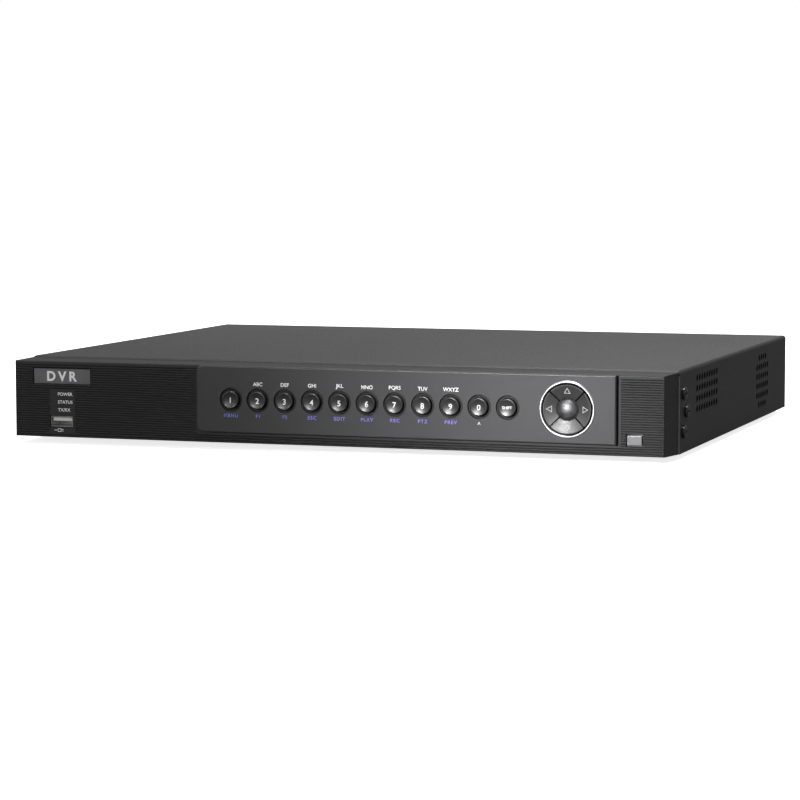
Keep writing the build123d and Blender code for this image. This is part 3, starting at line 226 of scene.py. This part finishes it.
def edge_highlight_paint(name, level, front, height):
    """The same paint, with a painted highlight: a light grey band on the sheet's cut front edge below a
    height.
    """

    def painted_edge_highlight(finish, paint):
        """Blends the painted highlight's light grey into the paint."""
        # painted highlight: the cut front edge, up to a height, is drawn light grey
        highlight_edge = finish.maths("LESS_THAN", finish.axis("Y"), front + 0.05 * MM)
        below = finish.maths("LESS_THAN", finish.axis("Z"), height)
        return finish.mix(finish.maths("MULTIPLY", highlight_edge, below), paint, (0.45, 0.45, 0.46))

    return powder_coat(name, level, painted_edge_highlight=painted_edge_highlight)


def moulded(name, level, rough, specular=0.4, tint=(1.0, 1.0, 1.02), grain=0.02, coat=0.0):
    """Injection-moulded plastic with a spark-eroded grain and slight flow marks."""
    finish = Finish(name, specular=specular, coat=coat, coat_roughness=0.25)
    flow = finish.noise(30, 3, (0.4, 1.0, 1.0))
    speck = finish.noise(4200, 2)
    shade = finish.speckle(flow, speck, 0.55)
    finish.colour(finish.mix(shade, grey(level * 0.85, tint), grey(level * 1.15, tint)))
    finish.gloss(finish.between(finish.noise(1200, 3), 0.3, 0.7, rough - 0.05, rough + 0.06))
    finish.bump(speck, grain * MM, 0.5)
    return finish.material


def satin_panel(name):
    """Metallic-filled lacquer on the keypad panel, finely speckled, with faint horizontal polish."""
    finish = Finish(name, specular=0.42, coat=0.08, coat_roughness=0.3)
    flake = finish.noise(5200, 1)
    haze = finish.noise(14, 3)
    finish.colour(finish.mix(finish.speckle(haze, flake), (0.027, 0.027, 0.0283), (0.039, 0.0377, 0.0412)))
    finish.gloss(finish.between(finish.noise(700, 2, (0.15, 1, 1)), 0.3, 0.7, 0.36, 0.44))
    finish.bump(flake, 0.012 * MM, 0.5)
    return finish.material


def metal(name, colour, rough, grain=900, stretch=(1, 1, 1), depth=0.01):
    """Plated or drawn metal with slight variation in its polish."""
    finish = Finish(name, metallic=1.0)
    stain = finish.noise(120, 3)
    finish.colour(finish.mix(stain, tuple(0.85 * c for c in colour), colour))
    finish.gloss(finish.between(finish.noise(grain, 3, stretch), 0.3, 0.7, rough * 0.7, rough * 1.3))
    finish.bump(finish.noise(grain * 2, 2, stretch), depth * MM, 0.4)
    return finish.material


def rubber(name):
    """Matt black rubber."""
    finish = Finish(name, specular=0.25)
    finish.colour(finish.mix(finish.noise(300, 3), grey(0.012), grey(0.026)))
    finish.gloss(finish.between(finish.noise(800, 2), 0.3, 0.7, 0.7, 0.85))
    finish.bump(finish.noise(1500, 2), 0.04 * MM, 0.6)
    return finish.material


def ink(name, colour):
    """Screen-printed ink, slightly uneven where it is thin."""
    finish = Finish(name, specular=0.3)
    patch = finish.noise(2600, 3)
    finish.colour(finish.mix(finish.between(patch, 0.3, 0.7), tuple(0.82 * c for c in colour), colour))
    finish.gloss(finish.between(finish.noise(1800, 2), 0.3, 0.7, 0.5, 0.65))
    finish.bump(patch, 0.006 * MM, 0.5)
    return finish.material


def circuit_board(name):
    """Solder mask over copper tracks, which show as a slightly lighter maze."""
    finish = Finish(name, specular=0.5)
    tracks = finish.tree.nodes.new("ShaderNodeTexBrick")
    mapping = finish.tree.nodes.new("ShaderNodeMapping")
    mapping.inputs["Scale"].default_value = (220, 220, 220)
    finish.feed(mapping.inputs["Vector"], finish.place)
    finish.feed(tracks.inputs["Vector"], mapping.outputs["Vector"])
    tracks.inputs["Mortar Size"].default_value = 0.06
    finish.colour(finish.mix(tracks.outputs["Fac"], (0.006, 0.075, 0.028), (0.02, 0.16, 0.06)))
    finish.gloss(finish.between(finish.noise(600, 2), 0.3, 0.7, 0.28, 0.4))
    finish.bump(tracks.outputs["Fac"], 0.02 * MM, 0.5)
    return finish.material


def window(name, low, high, rough):
    """A smooth moulded window that hides what is behind it."""
    finish = Finish(name, specular=0.6, coat=0.4, coat_roughness=0.05)
    finish.colour(finish.mix(finish.noise(260, 2), low, high))
    finish.gloss(finish.between(finish.noise(900, 2), 0.3, 0.7, rough, rough + 0.06))
    finish.bump(finish.noise(400, 1), 0.01 * MM, 0.3)
    return finish.material


def jack_insert(name, split):
    """Insulators of the coaxial sockets: pale in the video sockets, coloured in the two audio ones."""
    finish = Finish(name, specular=0.5)

    def under(axis, limit):
        """1 below a limit along an axis, and 0 above it."""
        return finish.between(finish.axis(axis), limit - TIGHT, limit + TIGHT, 1.0, 0.0)

    low, left, red = under("Z", split["height"]), under("X", split["audio"]), under("X", split["red"])
    tone = finish.mix(finish.noise(800, 2), (0.62, 0.61, 0.57), (0.75, 0.74, 0.70))
    audio = finish.mix(red, (0.72, 0.70, 0.66), (0.45, 0.02, 0.02))
    finish.colour(finish.mix(finish.maths("MULTIPLY", low, left), tone, audio))
    finish.gloss(finish.between(finish.noise(900, 2), 0.3, 0.7, 0.35, 0.45))
    finish.bump(finish.noise(1800, 2), 0.01 * MM, 0.4)
    return finish.material


audio_boxes = islands("audio_jacks")
SPLIT = {
    "height": max(high.z for low, high in audio_boxes) + MM,
    "audio": max(high.x for low, high in audio_boxes) + MM,
    "red": (audio_boxes[0][1].x + audio_boxes[1][0].x) / 2,
}

FINISHES = {
    "case_paint": powder_coat("case_paint_finish", 0.030),
    "rubber": rubber("rubber_finish"),
    "bezel_plastic": moulded("bezel_finish", 0.016, 0.50, specular=0.36),
    "panel_plastic": satin_panel("panel_finish"),
    "black_plastic": moulded("black_finish", 0.006, 0.45, specular=0.3),
    "key_plastic": moulded("key_finish", 0.016, 0.36, specular=0.5, grain=0.01, coat=0.12),
    "pad_plastic": moulded("pad_finish", 0.024, 0.42, specular=0.5, grain=0.008, coat=0.05),
    "rocker_plastic": moulded("rocker_finish", 0.010, 0.35, specular=0.5),
    "ring_chrome": metal("ring_finish", (0.82, 0.82, 0.83), 0.40, 300, depth=0.001),
    "badge_metal": metal("badge_finish", (0.16, 0.16, 0.165), 0.42, 1400, (0.1, 1, 1)),
    "lamp_plastic": window("lamp_finish", (0.02, 0.02, 0.022), (0.04, 0.04, 0.044), 0.2),
    "window_plastic": window("window_finish", (0.15, 0.15, 0.155), (0.25, 0.25, 0.26), 0.16),
    "nickel": metal("nickel_finish", (0.74, 0.735, 0.72), 0.22),
    "white_plastic": moulded("white_finish", 0.62, 0.4, tint=(1.0, 0.99, 0.95)),
    "vga_plastic": moulded("vga_finish", 0.22, 0.42, tint=(0.08, 0.22, 1.0)),
    "green_plastic": moulded("green_finish", 0.2, 0.42, tint=(0.1, 1.0, 0.35)),
    "circuit_board": circuit_board("board_finish"),
    "zinc_screws": metal("zinc_finish", (0.62, 0.62, 0.64), 0.35),
    "black_screws": metal("black_screw_finish", (0.10, 0.10, 0.105), 0.24),
    "drive_metal": metal("drive_finish", (0.55, 0.55, 0.57), 0.45, 600, depth=0.03),
    "brass": metal("brass_finish", (0.72, 0.52, 0.22), 0.3),
    "cable_jacket": moulded("cable_finish", 0.02, 0.55),
}
cover_low, cover_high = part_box("top_cover")
# the cover's paint, with a painted highlight along its cut front edge
COVER = edge_highlight_paint("cover_finish", 0.030, cover_low.y, cover_high.z - EDGE_TOP)
WHITE_INK = ink("white_ink", (0.93, 0.93, 0.93))
BADGE_INK = ink("badge_ink", (0.98, 0.98, 0.98))
BLUE_INK = ink("blue_ink", (0.22, 0.21, 0.66))
ARROW_INK = ink("arrow_ink", (0.42, 0.42, 0.43))
INSERT = jack_insert("insert_finish", SPLIT)
USB_TONGUE = moulded("usb_tongue_finish", 0.80, 0.35, tint=(1.0, 1.0, 0.98))
DOME = metal("dome_finish", (0.24, 0.24, 0.245), 0.50, 300, depth=0.001)


def dress_nodes():
    """Gives every CAD node the finish of its slot."""
    slots = {entry["node"]: entry["material_slot"] for entry in frame["record"]["subparts"]}
    special = {"jack_inserts": INSERT, "usb_tongues": USB_TONGUE, "enter_key": DOME, "top_cover": COVER}
    for name, item in NODES.items():
        finish = special.get(name, FINISHES[slots[name]])
        item.data.materials.clear()
        item.data.materials.append(finish)


# ---- Print ---------------------------------------------------------------------------------------
def flat_text(text, size, bold, spacing):
    """A word's filled outlines as a closed mesh, in its own plane, centred."""
    curve = bpy.data.curves.new("word", "FONT")
    curve.body = text
    curve.size = size
    curve.offset = bold
    curve.space_character = spacing
    curve.align_x = "CENTER"
    curve.align_y = "CENTER"
    curve.resolution_u = 4
    curve.extrude = 0.5
    item = bpy.data.objects.new("word", curve)
    bpy.context.scene.collection.objects.link(item)
    bpy.context.view_layer.update()
    mesh = bpy.data.meshes.new_from_object(item.evaluated_get(bpy.context.evaluated_depsgraph_get()))
    bpy.data.objects.remove(item)
    low = [min(v.co[i] for v in mesh.vertices) for i in (0, 1)]
    high = [max(v.co[i] for v in mesh.vertices) for i in (0, 1)]
    for vertex in mesh.vertices:
        vertex.co.x -= (low[0] + high[0]) / 2
        vertex.co.y -= (low[1] + high[1]) / 2
    return mesh


def plane_at(y, side=-1):
    """A flat surface facing the front (side -1) or the rear (side 1)."""
    return lambda x, z: (y, side)


def skin_of(node, side=-1):
    """The surface of a CAD node as seen from the front (side -1) or the rear (side 1)."""
    tree = BVHTree.FromPolygons(
        [v.co for v in NODES[node].data.vertices], [p.vertices for p in NODES[node].data.polygons]
    )
    low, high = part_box(node)
    start = low.y - MM if side < 0 else high.y + MM

    def find(x, z):
        """The surface's y at a point, and the way it faces."""
        hit = tree.ray_cast(Vector((x, start, z)), Vector((0, -side, 0)))[0]
        return (hit.y if hit else (low.y if side < 0 else high.y), side)

    return find


def finish_piece(name, shape, body, slot, material):
    """Turns a bmesh into a named piece on a CAD body."""
    bmesh.ops.remove_doubles(shape, verts=shape.verts, dist=1e-8)
    bmesh.ops.recalc_face_normals(shape, faces=shape.faces)
    mesh = bpy.data.meshes.new(name)
    shape.to_mesh(mesh)
    shape.free()
    mesh.materials.append(material)
    item = bpy.data.objects.new(name, mesh)
    bpy.context.scene.collection.objects.link(item)
    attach(item, body)
    return item


def lettering(name, words, surface, body, slot, material, bold=0.0, spacing=1.0, from_left=False):
    """Prints words, each (text, size, x, z), on a surface, as one piece; x is the middle or the left end."""
    shape = bmesh.new()
    for text, size, x, z in words:
        mesh = flat_text(text, size, bold, spacing)
        along = -surface(x, z)[1]
        if from_left:
            x += max(vertex.co.x for vertex in mesh.vertices)
        for vertex in mesh.vertices:
            px, pz = x + along * vertex.co.x, z + vertex.co.y
            y, side = surface(px, pz)
            vertex.co = (px, y + side * (LIFT if vertex.co.z > 0 else -SINK), pz)
        shape.from_mesh(mesh)
        bpy.data.meshes.remove(mesh)
    return finish_piece(name, shape, body, slot, material)


def ribbon(shape, points, width, surface, closed=True):
    """A printed line of even width through (x, z) points, following a surface."""
    fine = []
    count = len(points)
    for i in range(count if closed else count - 1):
        start, end = Vector(points[i]), Vector(points[(i + 1) % count])
        fine += [start.lerp(end, step / LINE_STEPS) for step in range(LINE_STEPS)]
    if not closed:
        fine.append(Vector(points[-1]))
    total = len(fine)
    rows = []
    for i, point in enumerate(fine):
        before = fine[i - 1] if closed or i else point
        after = fine[(i + 1) % total] if closed or i < total - 1 else point
        first = (point - before).normalized() if point != before else (after - point).normalized()
        second = (after - point).normalized() if after != point else first
        normal = Vector((-(first + second).y, (first + second).x)).normalized()
        stretch = width / 2 / max(MITRE_LIMIT, normal.dot(Vector((-first.y, first.x))))
        row = []
        for offset, level in ((-1, LIFT), (1, LIFT), (1, -SINK), (-1, -SINK)):
            px, pz = point + normal * stretch * offset
            y, side = surface(px, pz)
            row.append(shape.verts.new((px, y + side * level, pz)))
        rows.append(row)
    for i in range(total if closed else total - 1):
        near, far = rows[i], rows[(i + 1) % total]
        for corner in range(4):
            following = (corner + 1) % 4
            shape.faces.new((near[corner], near[following], far[following], far[corner]))
    if not closed:
        shape.faces.new(rows[0])
        shape.faces.new(reversed(rows[-1]))


WHITE_PRINT = ("chassis", "white_plastic", WHITE_INK)


def panel_print():
    """Letters above the keys, and functions below them."""
    panel = plane_at(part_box("keypad_panel")[0].y)
    keys = [middle(f"key_{digit}") for digit in DIGITS]
    key_z = keys[0].z
    letters = [(word, LETTER_SIZE, keys[i + 1].x, key_z + LETTER_RISE) for i, word in enumerate(LETTERS)]
    lettering("panel_letters", letters, panel, *WHITE_PRINT, bold=0.05 * MM)
    words = [(word, FUNCTION_SIZE, keys[i].x, key_z - FUNCTION_DROP) for i, word in enumerate(FUNCTIONS)]
    lettering(
        "panel_functions", words, panel, "chassis", "white_plastic", BLUE_INK, bold=0.06 * MM, spacing=1.25
    )
    lettering("panel_mode", [("A", MODE_SIZE, keys[9].x, key_z - MODE_DROP)], panel, *WHITE_PRINT)


def key_print():
    """A digit on each number key, and a word on the shift key."""
    for digit in DIGITS:
        place = middle(f"key_{digit}")
        word = [(digit, DIGIT_SIZE, place.x, place.z - DIGIT_DROP)]
        skin = skin_of(f"key_{digit}")
        lettering(f"digit_{digit}", word, skin, f"key_{digit}", "white_plastic", WHITE_INK, bold=0.07 * MM)
    shift = middle("key_shift")
    word = [("SHIFT", SHIFT_SIZE, shift.x, shift.z)]
    lettering(
        "shift_word", word, skin_of("key_shift"), "key_shift", "white_plastic", WHITE_INK, bold=0.04 * MM
    )


def pad_print():
    """An outlined triangle on each arrow key, pointing away from the pad's middle."""
    pad = middle("enter_key")
    for name, angle in ARROWS.items():
        turn = math.radians(angle)
        out = Vector((math.cos(turn), math.sin(turn)))
        across = Vector((-out.y, out.x))
        centre = Vector((pad.x, pad.z)) + out * ARROW_REACH
        foot = centre - out * ARROW_BASE
        corners = [centre + out * ARROW_TIP, foot + across * ARROW_HALF, foot - across * ARROW_HALF]
        shape = bmesh.new()
        ribbon(shape, corners, ARROW_LINE, skin_of(f"arrow_{name}"))
        finish_piece(f"arrow_mark_{name}", shape, f"arrow_{name}", "white_plastic", ARROW_INK)


def bezel_print():
    """Lamp words, the badge's word, and a plug sign below the front socket."""
    face = plane_at(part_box("front_bezel")[0].y)
    lamps = sorted(islands("light_pipes"), key=lambda corners: -corners[0].z)
    words = []
    for (low, high), word in zip(lamps, ("POWER", "STATUS", "TX/RX")):
        words.append((word, LAMP_SIZE, high.x + LAMP_GAP, (low.z + high.z) / 2))
    lettering("lamp_words", words, face, *WHITE_PRINT, bold=0.04 * MM, from_left=True)
    badge = middle("badge_plate")
    word = [("DVR", BADGE_SIZE, badge.x, badge.z)]
    plate = plane_at(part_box("badge_plate")[0].y)
    lettering("badge_word", word, plate, "chassis", "white_plastic", BADGE_INK, bold=0.28 * MM, spacing=1.5)
    # the plug sign: a lead, two prongs and a body
    shape = bmesh.new()
    socket = min(islands("usb_shells"), key=lambda corners: corners[0].y)
    x, z = (socket[0].x + socket[1].x) / 2 - SIGN_LEFT, socket[0].z - SIGN_DROP
    strokes = (
        ((-3.0, 0.0), (-0.8, 0.0)),
        ((1.0, 0.45), (2.6, 0.45)),
        ((1.0, -0.45), (2.6, -0.45)),
    )
    for stroke in strokes:
        line = [(x + right * MM, z + up * MM) for right, up in stroke]
        ribbon(shape, line, SIGN_LINE, face, closed=False)
    outline = ((-0.8, -0.8), (0.9, -0.8), (0.9, 0.8), (-0.8, 0.8))
    ribbon(shape, [(x + right * MM, z + up * MM) for right, up in outline], SIGN_LINE, face)
    finish_piece("port_sign", shape, *WHITE_PRINT)


def rear_print():
    """Plain legends beside the rear sockets."""
    wall = plane_at(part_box("base_tray")[1].y, 1)
    video = sorted(islands("video_jacks"), key=lambda corners: (-round(corners[0].z, 3), -corners[0].x))
    video = [(low + high) / 2 for low, high in video]
    top, below = video[0].z, video[-1].z
    between = (top + below) / 2
    numbered = zip("1234", video[:2] + video[3:])
    words = [(mark, REAR_SIZE, jack.x - MARK_LEFT, jack.z) for mark, jack in numbered]
    words.append(("VIDEO IN", REAR_SIZE, (video[0].x + video[1].x) / 2, between))
    words.append(("OUT", REAR_SIZE, video[2].x, between))
    audio = [(low + high) / 2 for low, high in islands("audio_jacks")]
    words.append(("AUDIO", REAR_SIZE, (audio[0].x + audio[1].x) / 2 - AUDIO_LEFT, between))
    for node, word in (
        ("vga_socket", "VGA"),
        ("hdmi_socket", "HD OUT"),
        ("network_jack", "LAN"),
        ("terminal_block", "RS-485   ALARM"),
        ("power_inlet", "DC 12V"),
    ):
        low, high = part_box(node)
        words.append((word, REAR_SIZE, (low.x + high.x) / 2, high.z + REAR_RISE))
    low, high = max(islands("usb_shells"), key=lambda corners: corners[0].y)
    words.append(("USB", REAR_SIZE, (low.x + high.x) / 2, high.z + REAR_RISE))
    lettering("rear_words", words, wall, "chassis", "white_plastic", WHITE_INK, bold=0.03 * MM)


dress_nodes()
panel_print()
key_print()
pad_print()
bezel_print()
rear_print()


# ---- Stage, light and camera ---------------------------------------------------------------------
def floor():
    """A plain pale floor."""
    mesh = bpy.data.meshes.new("floor")
    corners = [(x * FLOOR_SIZE, y * FLOOR_SIZE, 0) for x, y in ((-1, -1), (1, -1), (1, 1), (-1, 1))]
    mesh.from_pydata(corners, [], [(0, 1, 2, 3)])
    item = bpy.data.objects.new("floor", mesh)
    bpy.context.scene.collection.objects.link(item)
    finish = Finish("floor_finish", specular=0.1)
    # white to the camera, but darker in what the recorder reflects
    seen = finish.tree.nodes.new("ShaderNodeLightPath").outputs["Is Camera Ray"]
    finish.colour(finish.mix(seen, grey(0.10), finish.mix(finish.noise(3, 2), grey(0.90), grey(0.94))))
    # and bright enough that only a faint contact shadow is left
    finish.surface.inputs["Emission Color"].default_value = (1.0, 1.0, 1.0, 1.0)
    finish.feed(finish.surface.inputs["Emission Strength"], finish.between(seen, 0.0, 1.0, 0.0, 0.8))
    finish.gloss(0.8)
    item.data.materials.append(finish.material)


def aimed(light, place, aim):
    """Hangs a light at a place, pointing at another; the camera doesn't see it."""
    item = bpy.data.objects.new(light.name, light)
    bpy.context.scene.collection.objects.link(item)
    item.location = place
    item.rotation_euler = (Vector(aim) - Vector(place)).to_track_quat("-Z", "Y").to_euler()
    item.visible_camera = False


def softbox(name, place, aim, size, radiance):
    """A rectangular soft light of even brightness."""
    light = bpy.data.lights.new(name, "AREA")
    light.shape = "RECTANGLE"
    light.size, light.size_y = size
    light.energy = radiance * math.pi * size[0] * size[1]
    aimed(light, place, aim)


def spot(name, place, aim, watts, cone):
    """A soft-edged spot light with a cone of so many degrees."""
    light = bpy.data.lights.new(name, "SPOT")
    light.energy = watts
    light.spot_size = math.radians(cone)
    light.spot_blend = 1.0
    light.shadow_soft_size = SOFT_SPOT
    aimed(light, place, aim)


def around(azimuth, elevation, distance, centre=(0.0, 0.0, 0.03)):
    """A point at a distance from a centre; azimuth 0 is in front, and positive angles are to the right."""
    turn, rise = math.radians(azimuth), math.radians(elevation)
    way = Vector((math.sin(turn) * math.cos(rise), -math.cos(turn) * math.cos(rise), math.sin(rise)))
    return Vector(centre) + way * distance


def studio():
    """A white surround that lights the recorder dimly, an overhead light, soft boxes and three spots."""
    world = bpy.data.worlds.new("studio")
    bpy.context.scene.world = world
    world.use_nodes = True
    tree = world.node_tree
    backdrop = tree.nodes["Background"]
    backdrop.inputs["Color"].default_value = (1.0, 1.0, 1.0, 1.0)
    seen = tree.nodes.new("ShaderNodeLightPath").outputs["Is Camera Ray"]
    strength = tree.nodes.new("ShaderNodeMapRange")
    strength.inputs["To Min"].default_value = DIM
    strength.inputs["To Max"].default_value = 1.0
    tree.links.new(seen, strength.inputs["Value"])
    tree.links.new(strength.outputs["Result"], backdrop.inputs["Strength"])
    sun = bpy.data.lights.new("overhead", "SUN")
    sun.energy = SUN
    sun.angle = math.radians(30)
    aimed(sun, (0, 0, 2), (0, 0, 0))
    panel_right = (0.13, -0.165, 0.03)
    softbox("front_box", around(-14, 15, 2.0, panel_right), panel_right, (0.7, 0.45), 6.0)
    softbox("rear_box", around(180, 35, 2.0), (0, 0, 0), (0.9, 0.6), 1.3)
    spot("panel_spot", around(-10, 18, 1.2, panel_right), panel_right, 150.0, 13.0)
    badge = (-0.165, -0.163, 0.03)
    spot("badge_spot", around(-40, 14, 1.2, badge), badge, 45.0, 7.0)
    rear_wall = (0.0, 0.163, 0.025)
    spot("rear_spot", around(228, 4, 1.4, rear_wall), rear_wall, 90.0, 22.0)


def camera():
    """A long lens, a little to the right of the front and just above the recorder."""
    azimuth, elevation = math.radians(CAMERA_AZIMUTH), math.radians(CAMERA_ELEVATION)
    data = bpy.data.cameras.new("camera")
    data.sensor_width = CAMERA_SENSOR
    data.lens = CAMERA_LENS
    data.clip_start, data.clip_end = 0.05, 50.0
    item = bpy.data.objects.new("camera", data)
    bpy.context.scene.collection.objects.link(item)
    item.location = around(CAMERA_AZIMUTH, CAMERA_ELEVATION, CAMERA_DISTANCE, CAMERA_AIM)
    item.rotation_euler = (math.pi / 2 - elevation, math.radians(CAMERA_ROLL), azimuth)
    bpy.context.scene.camera = item


floor()
studio()
camera()
bpy.context.scene.view_settings.view_transform = "Standard"
